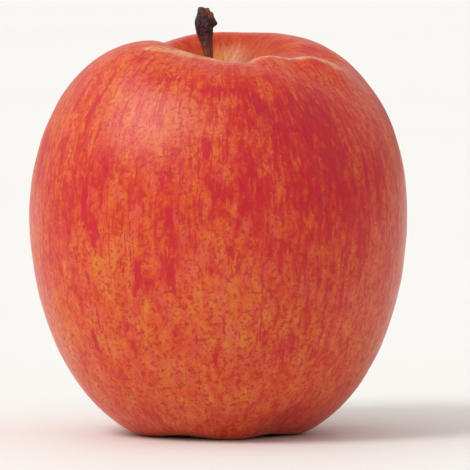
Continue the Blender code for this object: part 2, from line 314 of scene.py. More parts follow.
def skinPlaces(points):
    # where each point is on the skin: its azimuth from the front, and how far it lies above the waist along
    # the fruit's average profile, in mm
    radius = np.hypot(points[:, 0], points[:, 1])
    coreRadius, coreHeight = fruit["core"]
    angle = np.arctan2(points[:, 2] - coreHeight, radius - coreRadius)
    slices = 240
    edges = np.linspace(angle.min(), angle.max(), slices + 1)
    inSlice = np.digitize(angle, edges) - 1
    profile = []
    for number in range(slices):
        here = inSlice == number
        if here.any():
            profile.append((angle[here].mean(), radius[here].mean(), points[here, 2].mean()))
    line = np.array(profile)
    along = np.concatenate([[0], np.cumsum(np.hypot(np.diff(line[:, 1]), np.diff(line[:, 2])))])
    waistAngle = math.atan2(fruit["waistHeight"] - coreHeight, fruit["waistRadius"] - coreRadius)
    waist = np.interp(waistAngle, line[:, 0], along)
    azimuth = np.arctan2(points[:, 0], -points[:, 1])
    return azimuth, np.interp(angle, line[:, 0], along) - waist


def paintSkin(piece):
    points = np.empty(len(piece.data.vertices) * 3)
    piece.data.vertices.foreach_get("co", points)
    points = points.reshape(-1, 3) / mm
    azimuth, along = skinPlaces(points)
    radius = np.hypot(points[:, 0], points[:, 1])
    waist = fruit["waistRadius"]
    writeAttribute(piece.data, "skinPlace", "FLOAT_VECTOR",
                   np.stack([waist * np.sin(azimuth), -waist * np.cos(azimuth), along], 1))

    # the sides that aren't in front get streaks and patches of the same kinds
    luck = random.Random(fruit["seed"])
    streaks, patches = list(fruit["streaks"]), list(fruit["patches"])
    count, first, last = fruit["moreStreaks"]
    for _ in range(count):
        at = luck.uniform(first, last)
        up = luck.uniform(-38, 38)
        streaks.append((at, up, luck.uniform(1.0, 3.2), luck.uniform(7, 15), luck.uniform(.35, .85)))
    count, first, last = fruit["morePatches"]
    for _ in range(count):
        at = luck.uniform(first, last)
        up = luck.uniform(-40, 38)
        amount = luck.choice((-.4, -.3, -.3, .25, .35)) + up * 0.003
        patches.append((at, up, luck.uniform(5, 13), luck.uniform(6, 15), amount))

    def away(at):
        turn = (azimuth - math.radians(at) + math.pi) % (2 * math.pi) - math.pi
        return turn * np.clip(radius, 6, waist)

    fall = 0.69  # makes a mark half as strong at its edge as in its middle
    streak = np.zeros(len(points))
    for at, up, width, length, strength in streaks:
        across = away(at) / (width / 2)
        lengthwise = (along - up) / (length / 2)
        near = np.exp(-fall * (np.abs(across) ** 2.2 + np.abs(lengthwise) ** 2.6))
        streak = np.maximum(streak, strength * near)
    # the patches are summed: the real blush, and the painted highlight and painted shade among them
    blushAndPaintedLight = np.zeros(len(points))
    for at, up, halfWidth, halfHeight, amount in patches:
        blushAndPaintedLight += amount * np.exp(-fall * ((away(at) / halfWidth) ** 2 + ((along - up) / halfHeight) ** 2))
    # redder towards the stalk, and yellower towards the base
    blushAndPaintedLight += 0.10 * smoothStep(-15, 30, along) - 0.08 * smoothStep(-18, -50, along)
    writeAttribute(piece.data, "broadStreak", "FLOAT", streak)
    writeAttribute(piece.data, "blushAndPaintedLight", "FLOAT", blushAndPaintedLight)
    # how far inside the rim of the hollow each place is; the rim is the highest place in its direction
    sectors = 72
    sector = ((azimuth / (2 * math.pi) + 0.5) * sectors).astype(int) % sectors
    rim = np.array([along[sector == n][points[sector == n, 2].argmax()] for n in range(sectors)])
    rim = (np.roll(rim, 1) + rim * 2 + np.roll(rim, -1)) / 4
    centres = (np.arange(-1, sectors + 1) + 0.5) / sectors * 2 * math.pi - math.pi
    inside = along - np.interp(azimuth, centres, np.concatenate([rim[-1:], rim, rim[:1]]))
    # the painted highlight along the lip: how near each place lies to the pale line
    lip = np.zeros(len(points))
    for (x0, y0, width0), (x1, y1, width1) in zip(fruit["lipHighlightLine"], fruit["lipHighlightLine"][1:]):
        fromX, fromY, stepX, stepY = points[:, 0] - x0, points[:, 1] - y0, x1 - x0, y1 - y0
        share = np.clip((fromX * stepX + fromY * stepY) / (stepX ** 2 + stepY ** 2), 0, 1)
        off = np.hypot(fromX - share * stepX, fromY - share * stepY) / (width0 + share * (width1 - width0))
        # on the side of the hollow the painted highlight fades out more slowly
        off = np.where(stepX * fromY > stepY * fromX, off / 2.2, off)
        lip = np.maximum(lip, np.exp(-off ** 2))
    lip *= smoothStep(76, 80, points[:, 2])
    writeAttribute(piece.data, "insideRim", "FLOAT", inside)
    # the wall of the hollow is palest at the back, and pale all round near the stalk
    behind = (np.degrees(azimuth) - fruit["paleTowards"] + 180) % 360 - 180
    paleWall = np.maximum(0.15 + 0.85 * np.exp(-(behind / 30) ** 2), smoothStep(9, 17, inside))
    writeAttribute(piece.data, "paleWall", "FLOAT", paleWall)
    writeAttribute(piece.data, "paintedLipHighlight", "FLOAT", lip)


def makeSkinMaterial():
    # Ripe apple skin with its own wax: glossy but never sharp, orange with red streaks from stalk to eye,
    # a faint depth from the flesh beneath and fine pores that break up the shine
    material, tree = newMaterial("apple skin, waxy and streaked")
    place = addNode(tree, "ShaderNodeAttribute", {"attribute_name": "skinPlace"}).outputs["Vector"]
    blushAndPaintedLight = addNode(tree, "ShaderNodeAttribute", {"attribute_name": "blushAndPaintedLight"}).outputs["Fac"]
    streak = addNode(tree, "ShaderNodeAttribute", {"attribute_name": "broadStreak"}).outputs["Fac"]
    objectPlace = addNode(tree, "ShaderNodeTexCoord").outputs["Object"]
    millimetres = addNode(tree, "ShaderNodeVectorMath", {"operation": "SCALE", "Scale": 1 / mm},
                          {0: objectPlace})
    along = addNode(tree, "ShaderNodeSeparateXYZ", {}, {0: place}).outputs["Z"]

    # the noise of every layer, stretched along the fruit
    layerNoise = []
    for number, layer in [*enumerate(fruit["mottle"]), *enumerate(fruit["dashes"], 8)]:
        across, lengthwise = layer["size"]
        spread = addNode(tree, "ShaderNodeMapping", {
            "Location": [shift * number for shift in fruit["layerShift"]],
            "Scale": (1 / across, 1 / across, 1 / lengthwise)}, {"Vector": place})
        noise = addNode(tree, "ShaderNodeTexNoise", {
            "Scale": 0.7, "Detail": layer["detail"], "Roughness": layer.get("roughness", 0.5)},
            {"Vector": spread.outputs[0]})
        layerNoise.append(noise.outputs["Fac"])

    # the sizes of spot are added up, and the blush, with its patches of painted highlight and painted shade,
    # pushes the sum towards red
    level = addNode(tree, "ShaderNodeMath", {"operation": "MULTIPLY_ADD", 1: -0.32, 2: 0.5},
                    {0: blushAndPaintedLight}).outputs[0]
    for noise, layer in zip(layerNoise, fruit["mottle"]):
        centred = addNode(tree, "ShaderNodeMath", {"operation": "SUBTRACT", 1: 0.5}, {0: noise})
        level = addNode(tree, "ShaderNodeMath", {"operation": "MULTIPLY_ADD", 1: layer["weight"]},
                        {0: centred.outputs[0], 2: level}).outputs[0]
    ramp = addNode(tree, "ShaderNodeValToRGB", {}, {0: level})
    stops = ramp.color_ramp.elements
    while len(stops) < len(fruit["mottleColours"]):
        stops.new(1.0)
    for stop, (position, hexColour) in zip(stops, fruit["mottleColours"]):
        stop.position = position
        stop.color = linearColour(hexColour)
    colour = ramp.outputs[0]

    for noise, layer in zip(layerNoise[len(fruit["mottle"]):], fruit["dashes"]):
        denser = addNode(tree, "ShaderNodeMath", {"operation": "MULTIPLY_ADD", 1: layer["blushAndPaintedLight"]},
                         {0: blushAndPaintedLight, 2: noise})
        low, high = layer["fade"]
        shown = addNode(tree, "ShaderNodeMapRange", {
            **eased, "From Min": low, "From Max": high,
            "To Max": layer["strength"]}, {"Value": denser.outputs[0]})
        colour = addNode(tree, "ShaderNodeMix", {"data_type": "RGBA", 7: layer["colour"]},
                         {0: shown.outputs[0], 6: colour}).outputs[2]

    # broad streaks, frayed at their edges by finer marks that run the same way
    frayPlace = addNode(tree, "ShaderNodeMapping", {"Scale": (1.1, 1.1, 0.4)}, {"Vector": place})
    fray = addNode(tree, "ShaderNodeTexNoise", {"Scale": 1, "Detail": 4, "Roughness": 0.65},
                   {"Vector": frayPlace.outputs[0]})
    frayed = addNode(tree, "ShaderNodeMath", {"operation": "MULTIPLY_ADD", 1: 1.2},
                     {0: fray.outputs["Fac"], 2: streak})
    shown = addNode(tree, "ShaderNodeMapRange", {
        **eased, "From Min": 1.03, "From Max": 1.21, "To Max": 0.88},
        {"Value": frayed.outputs[0]})
    colour = addNode(tree, "ShaderNodeMix", {"data_type": "RGBA", 7: "#c21a30"},
                     {0: shown.outputs[0], 6: colour}).outputs[2]

    # where the blush is deepest the red turns to a dark crimson
    frayedBlush = addNode(tree, "ShaderNodeMath", {"operation": "MULTIPLY_ADD", 1: 1.1},
                          {0: fray.outputs["Fac"], 2: blushAndPaintedLight})
    darkest = addNode(tree, "ShaderNodeMapRange", {
        **eased, "From Min": 0.94, "From Max": 1.12, "To Max": 0.42},
        {"Value": frayedBlush.outputs[0]})
    colour = addNode(tree, "ShaderNodeMix", {"data_type": "RGBA", 7: "#a01e36"},
                     {0: darkest.outputs[0], 6: colour}).outputs[2]

    # dense dark red specks, about half a millimetre across
    for size, low, high, strongest in fruit["specks"]:
        dots = addNode(tree, "ShaderNodeTexNoise", {"Scale": 1 / size, "Detail": 1, "Roughness": 0.5},
                       {"Vector": millimetres.outputs[0]})
        shown = addNode(tree, "ShaderNodeMapRange", {
            **eased, "From Min": low, "From Max": high, "To Max": strongest},
            {"Value": dots.outputs["Fac"]})
        colour = addNode(tree, "ShaderNodeMix", {"data_type": "RGBA", 7: "#b62a1c"},
                         {0: shown.outputs[0], 6: colour}).outputs[2]

    # pale breathing pores, about 3 mm apart and barely seen
    pores = addNode(tree, "ShaderNodeTexVoronoi", {"Scale": 0.34, "Randomness": 1.0},
                    {"Vector": millimetres.outputs[0]})
    poreShown = addNode(tree, "ShaderNodeMapRange", {
        **eased, "From Min": 0.11, "From Max": 0.05, "To Max": 0.22},
        {"Value": pores.outputs["Distance"]})
    colour = addNode(tree, "ShaderNodeMix", {"data_type": "RGBA", 7: "#e2914f"},
                     {0: poreShown.outputs[0], 6: colour}).outputs[2]

    # the hollow around the stalk: red orange under the rim and then tan, with fine rays
    rayPlace = addNode(tree, "ShaderNodeMapping", {"Scale": (0.34, 0.34, 0.26)}, {"Vector": place})
    rays = addNode(tree, "ShaderNodeTexNoise", {"Scale": 1, "Detail": 5, "Roughness": 0.62},
                   {"Vector": rayPlace.outputs[0]})
    rayShown = addNode(tree, "ShaderNodeMapRange", {
        **eased, "From Min": 0.38, "From Max": 0.62},
        {"Value": rays.outputs["Fac"]})
    inside = addNode(tree, "ShaderNodeAttribute", {"attribute_name": "insideRim"}).outputs["Fac"]
    deeper = addNode(tree, "ShaderNodeMapRange", {
        **eased, "From Min": 4.5, "From Max": 12.0}, {"Value": inside})
    paleness = addNode(tree, "ShaderNodeAttribute", {"attribute_name": "paleWall"}).outputs["Fac"]
    deeper = addNode(tree, "ShaderNodeMath", {"operation": "MULTIPLY"}, {0: deeper.outputs[0], 1: paleness})
    pale = addNode(tree, "ShaderNodeMix", {"data_type": "RGBA", 6: "#c3481b", 7: "#e0a158"},
                   {0: deeper.outputs[0]})
    deep = addNode(tree, "ShaderNodeMix", {"data_type": "RGBA", 6: "#b52d15", 7: "#cd7a3a"},
                   {0: deeper.outputs[0]})
    hollow = addNode(tree, "ShaderNodeMix", {"data_type": "RGBA"},
                     {0: rayShown.outputs[0], 6: pale.outputs[2], 7: deep.outputs[2]})
    # thin brown rays are scratched into it
    scratchPlace = addNode(tree, "ShaderNodeMapping", {"Scale": (1.05, 1.05, 0.42)}, {"Vector": place})
    scratches = addNode(tree, "ShaderNodeTexNoise", {"Scale": 1, "Detail": 3, "Roughness": 0.55},
                        {"Vector": scratchPlace.outputs[0]})
    scratchShown = addNode(tree, "ShaderNodeMapRange", {
        **eased, "From Min": 0.55, "From Max": 0.68, "To Max": 0.55},
        {"Value": scratches.outputs["Fac"]})
    hollow = addNode(tree, "ShaderNodeMix", {"data_type": "RGBA", 7: "#a8441f"},
                     {0: scratchShown.outputs[0], 6: hollow.outputs[2]})
    inHollow = addNode(tree, "ShaderNodeMapRange", {
        **eased, "From Min": -1.0, "From Max": 4.0, "To Max": 0.92},
        {"Value": inside})
    colour = addNode(tree, "ShaderNodeMix", {"data_type": "RGBA"},
                     {0: inHollow.outputs[0], 6: colour, 7: hollow.outputs[2]}).outputs[2]
    # along the lip in front the skin is painted pale, a painted highlight on the crest, which frays into the
    # red along its rays
    lip = addNode(tree, "ShaderNodeAttribute", {"attribute_name": "paintedLipHighlight"}).outputs["Fac"]
    lipFray = addNode(tree, "ShaderNodeMath", {"operation": "ADD"},
                      {0: rays.outputs["Fac"], 1: scratches.outputs["Fac"]})
    lipBroken = addNode(tree, "ShaderNodeMath", {"operation": "MULTIPLY_ADD", 1: -1.3, 2: 1.3},
                        {0: lipFray.outputs[0]})
    lipLevel = addNode(tree, "ShaderNodeMath", {"operation": "ADD"}, {0: lip, 1: lipBroken.outputs[0]})
    lipHighlightShown = addNode(tree, "ShaderNodeMapRange", {
        **eased, "From Min": 0.10, "From Max": 1.0, "To Max": 0.66},
        {"Value": lipLevel.outputs[0]})
    lipEnds = addNode(tree, "ShaderNodeMapRange", {"From Max": 0.35}, {"Value": lip})
    lipHighlightShown = addNode(tree, "ShaderNodeMath", {"operation": "MULTIPLY"},
                       {0: lipHighlightShown.outputs[0], 1: lipEnds.outputs[0]})
    lipHighlightColour = addNode(tree, "ShaderNodeMix", {"data_type": "RGBA", 6: "#e6ac7c", 7: "#d98a52"},
                        {0: rayShown.outputs[0]})
    colour = addNode(tree, "ShaderNodeMix", {"data_type": "RGBA"},
                     {0: lipHighlightShown.outputs[0], 6: colour, 7: lipHighlightColour.outputs[2]}).outputs[2]

    # round the eye, underneath, the skin is yellow and has the same rays
    eyeColour = addNode(tree, "ShaderNodeMix", {"data_type": "RGBA", 6: "#c9a24e", 7: "#c0622d"},
                        {0: rayShown.outputs[0]})
    inEye = addNode(tree, "ShaderNodeMapRange", {
        **eased, "From Min": -59.0, "From Max": -72.0, "To Max": 0.80},
        {"Value": along})
    colour = addNode(tree, "ShaderNodeMix", {"data_type": "RGBA"},
                     {0: inEye.outputs[0], 6: colour, 7: eyeColour.outputs[2]}).outputs[2]

    # russet: the dull brown cork that grows around the foot of the stalk
    cork = addNode(tree, "ShaderNodeMath", {"operation": "MULTIPLY_ADD", 1: 10.0},
                   {0: rays.outputs["Fac"], 2: along})
    corkShown = addNode(tree, "ShaderNodeMapRange", {
        **eased, "From Min": 73.0, "From Max": 82.0, "To Max": 0.85},
        {"Value": cork.outputs[0]})
    colour = addNode(tree, "ShaderNodeMix", {"data_type": "RGBA", 7: "#8d6238"},
                     {0: corkShown.outputs[0], 6: colour}).outputs[2]

    # wax lies unevenly, so the shine does too; the cork is dull
    wax = addNode(tree, "ShaderNodeTexNoise", {"Scale": 0.5, "Detail": 4},
                  {"Vector": millimetres.outputs[0]})
    roughness = addNode(tree, "ShaderNodeMapRange", {"To Min": 0.26, "To Max": 0.38},
                        {"Value": wax.outputs["Fac"]})
    roughness = addNode(tree, "ShaderNodeMix", {3: 0.75},
                        {0: corkShown.outputs[0], 2: roughness.outputs[0]})

    grain = addNode(tree, "ShaderNodeTexNoise", {"Scale": 1.0, "Detail": 3},
                    {"Vector": millimetres.outputs[0]})
    bump = addNode(tree, "ShaderNodeBump", {"Strength": 0.6, "Distance": 0.00018},
                   {"Height": grain.outputs["Fac"]})
    poreBump = addNode(tree, "ShaderNodeBump", {"Strength": 0.3, "Distance": 0.00006},
                       {"Height": poreShown.outputs[0], "Normal": bump.outputs[0]})
    shader = addNode(tree, "ShaderNodeBsdfPrincipled", {
        "IOR": 1.36, "Specular IOR Level": 0.4, "Subsurface Weight": 0.05,
        "Subsurface Radius": (1.0, 0.25, 0.1), "Subsurface Scale": 0.001},
        {"Base Color": colour, "Roughness": roughness.outputs[0], "Normal": poreBump.outputs[0]})
    addNode(tree, "ShaderNodeOutputMaterial", {}, {"Surface": shader.outputs[0]})
    return material


skin = makeFruit()
paintSkin(skin)
finishPiece(skin, "appleSkin", ["apple_fruit"], makeSkinMaterial())
print("fruit made:", len(skin.data.polygons), "faces")


# The stalk

stalk = {
    "sides": 14, "turn": 3,
    # its outline: height, the middle's place across and towards the back, half width and half depth, in mm
    "rings": [
        (69.7, 0.0, 0.0, 1.55, 1.50), (70.8, 0.0, 0.0, 1.48, 1.42), (72.2, -0.04, 0.0, 1.28, 1.25),
        (74.0, -0.32, 0.02, 1.12, 1.10), (76.5, -0.95, 0.05, 1.04, 1.02), (79.0, -1.45, 0.02, 1.00, 1.00),
        (81.5, -1.82, -0.02, 0.98, 0.98), (84.0, -2.10, -0.05, 1.00, 1.00), (86.0, -2.42, -0.03, 1.20, 1.12),
        (87.6, -2.66, 0.0, 1.42, 1.32), (88.9, -2.88, 0.0, 1.68, 1.50), (90.1, -3.06, 0.05, 1.88, 1.65),
        (91.2, -3.12, 0.05, 1.95, 1.72), (92.2, -3.18, 0.02, 1.82, 1.65), (93.1, -3.32, 0.0, 1.52, 1.45),
        (93.9, -3.48, 0.0, 1.20, 1.20), (94.7, -3.62, 0.0, 0.98, 0.98), (95.2, -3.72, 0.0, 0.68, 0.74),
    ],
    # lumps of the broken end and the bud scars: middle and half sizes, in mm
    "lumps": [
        ((-2.45, -0.15, 94.15), (0.62, 0.75, 0.95)), ((-1.62, -0.25, 93.15), (0.55, 0.75, 1.10)),
        ((-4.05, -0.35, 91.2), (1.08, 1.20, 2.70)), ((-2.6, -1.15, 91.0), (0.85, 0.80, 1.60)),
        ((-2.3, 1.05, 90.6), (0.95, 0.95, 1.50)), ((-3.9, 0.95, 92.2), (0.80, 0.80, 1.20)),
        ((-1.75, 0.0, 89.4), (0.60, 0.90, 1.30)),
    ],
    "scale": {"root": (-1.95, -0.1, 91.75), "tip": (-0.25, -0.15, 91.45), "radius": 2.3, "end": 0.12},
    "ridges": (5, 0.055), "finerRidges": (11, 0.03),  # how many run up the neck, and how much they stand out
    "voxel": 0.14,  # mm
    "bark": ((1.1, 0.30), (0.38, 0.13)),  # size and depth of the bark's lumps, in mm
}


def makeStalk():
    rings = stalk["rings"]
    piece = extrudeRings(stalk["sides"], rings, stalk["turn"])

    # the lumps and the dry scale are fused with it, as on a broken spur
    extras = []
    for middle, halves in stalk["lumps"]:
        bpy.ops.mesh.primitive_ico_sphere_add(subdivisions=3, radius=1, location=[v * mm for v in middle])
        lump = bpy.context.object
        lump.scale = [v * mm for v in halves]
        extras.append(lump)
    scale = stalk["scale"]
    root, tip = Vector(scale["root"]) * mm, Vector(scale["tip"]) * mm
    bpy.ops.mesh.primitive_cone_add(vertices=12, radius1=scale["radius"] * mm, radius2=scale["end"] * mm,
                                    depth=(tip - root).length, location=(root + tip) / 2)
    spike = bpy.context.object
    spike.rotation_euler = (tip - root).to_track_quat("Z", "Y").to_euler()
    spike.scale = (0.6, 1, 1)
    joinAll([piece, *extras, spike])
    applyModifier(piece, "fused", "REMESH", mode="VOXEL", voxel_size=stalk["voxel"] * mm)
    applyModifier(piece, "worn", "SMOOTH", factor=0.5, iterations=3)

    # grooves along the neck, which wander a little, and rough bark all over
    points = np.empty(len(piece.data.vertices) * 3)
    piece.data.vertices.foreach_get("co", points)
    points = points.reshape(-1, 3)
    table = np.array(rings) * mm
    middleX = np.interp(points[:, 2], table[:, 0], table[:, 1])
    middleY = np.interp(points[:, 2], table[:, 0], table[:, 2])
    outX, outY = points[:, 0] - middleX, points[:, 1] - middleY
    turn = np.arctan2(outY, outX)
    wander = 0.5 * np.sin(points[:, 2] / mm * 0.55) + 0.35 * np.sin(points[:, 2] / mm * 1.3 + 1)
    (many, strong), (manyFiner, strongFiner) = stalk["ridges"], stalk["finerRidges"]
    groove = strong * np.cos(many * turn + wander) + strongFiner * np.cos(manyFiner * turn - 2 * wander)
    groove *= smoothStep(70.5, 73, points[:, 2] / mm)
    points[:, 0] += outX * groove
    points[:, 1] += outY * groove
    piece.data.vertices.foreach_set("co", points.ravel())
    # how far up the head a place is, and how far into the fresh break at its top
    head = smoothStep(86.0, 90.5, points[:, 2] / mm)
    broken = smoothStep(92.9, 93.7, points[:, 2] / mm + 0.5 * (points[:, 0] / mm + 2.6))
    broken *= smoothStep(-3.75, -3.25, points[:, 0] / mm)
    writeAttribute(piece.data, "head", "FLOAT", head)
    writeAttribute(piece.data, "broken", "FLOAT", broken)
    out = np.maximum(np.hypot(outX, outY), 1e-6)
    writeAttribute(piece.data, "stalkPlace", "FLOAT_VECTOR",
                   np.stack([outX / out, outY / out, points[:, 2] / mm], 1))
    for number, (size, depth) in enumerate(stalk["bark"]):
        clouds = addClouds(f"stalk bark {number}", size * mm, 2)
        applyModifier(piece, "bark", "DISPLACE", texture=clouds, strength=depth * mm, mid_level=0.5)
    return piece


def makeBarkMaterial():
    # Dry apple bark: dull, dark purple brown with lengthwise maroon ridges, redder where the end broke off
    # and yellow brown where it meets the fruit
    material, tree = newMaterial("apple stalk bark, dry and weathered")
    place = addNode(tree, "ShaderNodeAttribute", {"attribute_name": "stalkPlace"}).outputs["Vector"]
    broken = addNode(tree, "ShaderNodeAttribute", {"attribute_name": "broken"}).outputs["Fac"]
    head = addNode(tree, "ShaderNodeAttribute", {"attribute_name": "head"}).outputs["Fac"]
    objectPlace = addNode(tree, "ShaderNodeTexCoord").outputs["Object"]
    millimetres = addNode(tree, "ShaderNodeVectorMath", {"operation": "SCALE", "Scale": 1 / mm},
                          {0: objectPlace})
    height = addNode(tree, "ShaderNodeSeparateXYZ", {}, {0: place}).outputs["Z"]
    ridgePlace = addNode(tree, "ShaderNodeMapping", {"Scale": (2.6, 2.6, 0.22)}, {"Vector": place})
    ridges = addNode(tree, "ShaderNodeTexNoise", {"Scale": 1, "Detail": 4, "Roughness": 0.6},
                     {"Vector": ridgePlace.outputs[0]})
    grain = addNode(tree, "ShaderNodeTexNoise", {"Scale": 2.2, "Detail": 4, "Roughness": 0.65},
                    {"Vector": millimetres.outputs[0]})
    ridgeShown = addNode(tree, "ShaderNodeMapRange", {
        **eased, "From Min": 0.42, "From Max": 0.62},
        {"Value": ridges.outputs["Fac"]})
    neck = addNode(tree, "ShaderNodeMix", {"data_type": "RGBA", 6: "#4c2129", 7: "#86464a"},
                   {0: ridgeShown.outputs[0]})
    grainShown = addNode(tree, "ShaderNodeMapRange", {
        **eased, "From Min": 0.46, "From Max": 0.66},
        {"Value": grain.outputs["Fac"]})
    knob = addNode(tree, "ShaderNodeMix", {"data_type": "RGBA", 6: "#2a1016", 7: "#5e3236"},
                   {0: grainShown.outputs[0]})
    colour = addNode(tree, "ShaderNodeMix", {"data_type": "RGBA"},
                     {0: head, 6: neck.outputs[2], 7: knob.outputs[2]})
    low = addNode(tree, "ShaderNodeMath", {"operation": "MULTIPLY_ADD", 1: 9.0},
                  {0: ridges.outputs["Fac"], 2: height})
    lowShown = addNode(tree, "ShaderNodeMapRange", {
        **eased, "From Min": 93.5, "From Max": 86.0, "To Max": 0.8},
        {"Value": low.outputs[0]})
    colour = addNode(tree, "ShaderNodeMix", {"data_type": "RGBA", 7: "#96552a"},
                     {0: lowShown.outputs[0], 6: colour.outputs[2]})
    fresh = addNode(tree, "ShaderNodeMix", {"data_type": "RGBA", 6: "#5c2219", 7: "#8f4636"},
                    {0: grainShown.outputs[0]})
    colour = addNode(tree, "ShaderNodeMix", {"data_type": "RGBA"},
                     {0: broken, 6: colour.outputs[2], 7: fresh.outputs[2]})
    bump = addNode(tree, "ShaderNodeBump", {"Strength": 0.5, "Distance": 0.0001},
                   {"Height": grain.outputs["Fac"]})
    shader = addNode(tree, "ShaderNodeBsdfPrincipled", {
        "Roughness": 0.62, "IOR": 1.45, "Specular IOR Level": 0.4},
        {"Base Color": colour.outputs[2], "Normal": bump.outputs[0]})
    addNode(tree, "ShaderNodeOutputMaterial", {}, {"Surface": shader.outputs[0]})
    return material


spur = finishPiece(makeStalk(), "stalkSpur", ["stalk"], makeBarkMaterial())
print("stalk made:", len(spur.data.polygons), "faces")


# The dried flower parts in the eye, underneath; their sizes are in mm

sepals = {
    "width": 2.9, "tipWidth": 0.45, "thickness": 0.30, "lean": 0.6, "cup": 0.45,
    "root": (3.75, 7.9),  # radius and height
    "firstAzimuth": 9,  # degrees from the front
    # length, how far the tip curls out, how far it bends to one side, and its twist in degrees
    "each": [(5.7, 1.9, 0.25, 12), (5.3, 1.5, -0.30, -18), (5.6, 1.2, 0.15, 25), (5.2, 1.8, -0.2, 8),
             (5.6, 1.4, 0.35, -10)],
    "crumple": (0.9, 0.22),  # size and depth
}
threads = {
    "stamens": 10, "ring": (1.75, 0.60, 8.2, 10.3),  # middle radius, wall, lowest and highest
    "filament": 0.14,  # half its thickness
    # where they leave the ring or the column and where they end, and the knobs' half sizes
    "stamenHeights": (8.9, 4.95), "anther": (0.24, 0.17, 0.36),
    "styles": 5, "styleHeights": (7.8, 5.95), "stigma": (0.22, 0.22, 0.16),
    "column": [(10.3, 0, 0, .50, .50), (9.2, 0, 0, .46, .46), (8.2, 0, 0, .42, .42), (7.4, 0, 0, .46, .46)],
    "seed": 11,
}


def makeSepal(length, curl, bend, twist, azimuth):
    rows, columns = 10, 6
    bpy.ops.mesh.primitive_grid_add(x_subdivisions=columns, y_subdivisions=rows, size=1, location=(0, 0, 0))
    piece = bpy.context.object
    bpy.ops.object.mode_set(mode="EDIT")
    for row in range(rows + 1):
        share = row / rows
        level = share - 0.5
        width = sepals["width"] - (sepals["width"] - sepals["tipWidth"]) * share ** 1.6
        inward = sepals["lean"] * math.sin(math.pi * share) - curl * share ** 2.6
        # the row is put in place, and then its edges are cupped towards the tube
        selectWhere(piece, lambda vertex: abs(vertex.co.y - level) < 1e-4)
        bpy.ops.transform.resize(value=(width * mm, 1, 1), center_override=(0, level, 0))
        bpy.ops.transform.rotate(value=-math.radians(twist) * share, orient_axis="Y",
                                 center_override=(0, level, 0))
        bpy.ops.transform.translate(value=(bend * share ** 2 * mm, 0, inward * mm))
    bpy.ops.mesh.select_all(action="SELECT")
    bpy.ops.transform.resize(value=(1, length * mm, 1), center_override=(0, -0.5, 0))
    bpy.ops.transform.translate(value=(0, 0.5, 0))
    bpy.ops.object.mode_set(mode="OBJECT")
    for vertex in piece.data.vertices:
        share = vertex.co.y / (length * mm)
        side = 2 * vertex.co.x / (sepals["width"] * mm)
        vertex.co.z += sepals["cup"] * mm * side * side * (1 - 0.5 * share)
    radius, height = sepals["root"]
    turn = math.radians(azimuth)
    piece.rotation_euler = (math.radians(-90), 0, turn)
    piece.location = (radius * math.sin(turn) * mm, -radius * math.cos(turn) * mm, height * mm)
    bpy.ops.object.transform_apply(location=True, rotation=True, scale=True)
    applyModifier(piece, "thick", "SOLIDIFY", thickness=sepals["thickness"] * mm, offset=0)
    applyModifier(piece, "soft", "SUBSURF", levels=2, render_levels=2)
    size, depth = sepals["crumple"]
    applyModifier(piece, "crumpled", "DISPLACE", texture=addClouds("crumpled sepal", size * mm, 2),
                  strength=depth * mm, mid_level=0.5)
    return piece


def makeStamens():
    luck = random.Random(threads["seed"])
    middle, wall, low, high = threads["ring"]
    bpy.ops.mesh.primitive_cylinder_add(vertices=30, radius=middle * mm, depth=(high - low) * mm,
                                        end_fill_type="NOTHING", location=(0, 0, (low + high) / 2 * mm))
    ring = bpy.context.object
    bpy.ops.object.transform_apply(location=True, rotation=True, scale=True)
    applyModifier(ring, "wall", "SOLIDIFY", thickness=wall * mm, offset=0)
    applyModifier(ring, "rounded", "BEVEL", width=0.12 * mm, segments=2, limit_method="ANGLE")
    made = [ring]
    thin = threads["filament"]
    root, tip = threads["stamenHeights"]
    for number in range(threads["stamens"]):
        turn = 2 * math.pi * number / threads["stamens"] + luck.uniform(-.12, .12)
        lean, sway, end = luck.uniform(-.35, .05), luck.uniform(-.35, .35), luck.uniform(0, .5)
        rings = []
        for step in range(7):
            share = step / 6
            radius = middle + lean * share ** 2
            angle = turn + sway * share ** 2 / middle
            height = root + (tip + end - root) * share
            rings.append((height, radius * math.sin(angle), -radius * math.cos(angle),
                          thin * (1 - .25 * share), thin * (1 - .25 * share)))
        made.append(extrudeRings(7, rings))
        # the dried anther on its end
        height, x, y, _, _ = rings[-1]
        bpy.ops.mesh.primitive_uv_sphere_add(segments=10, ring_count=7, radius=1,
                                             location=(x * mm, y * mm, height * mm),
                                             rotation=(luck.uniform(-.5, .5), luck.uniform(-.5, .5), turn))
        bpy.context.object.scale = [size * mm for size in threads["anther"]]
        made.append(bpy.context.object)
    return joinAll(made)


def makeStyles():
    luck = random.Random(threads["seed"] + 1)
    made = [extrudeRings(10, threads["column"])]
    root, tip = threads["styleHeights"]
    for number in range(threads["styles"]):
        turn = 2 * math.pi * number / threads["styles"] + 0.3
        spread, end = luck.uniform(.30, .42), luck.uniform(0, .35)
        rings = []
        for step in range(5):
            share = step / 4
            radius = 0.22 + spread * share ** 1.5
            height = root + (tip + end - root) * share
            rings.append((height, radius * math.sin(turn), -radius * math.cos(turn),
                          .19 - .04 * share, .19 - .04 * share))
        made.append(extrudeRings(7, rings))
        # the knob on its end
        height, x, y, _, _ = rings[-1]
        bpy.ops.mesh.primitive_uv_sphere_add(segments=10, ring_count=7, radius=1,
                                             location=(x * mm, y * mm, height * mm))
        bpy.context.object.scale = [size * mm for size in threads["stigma"]]
        made.append(bpy.context.object)
    return joinAll(made)


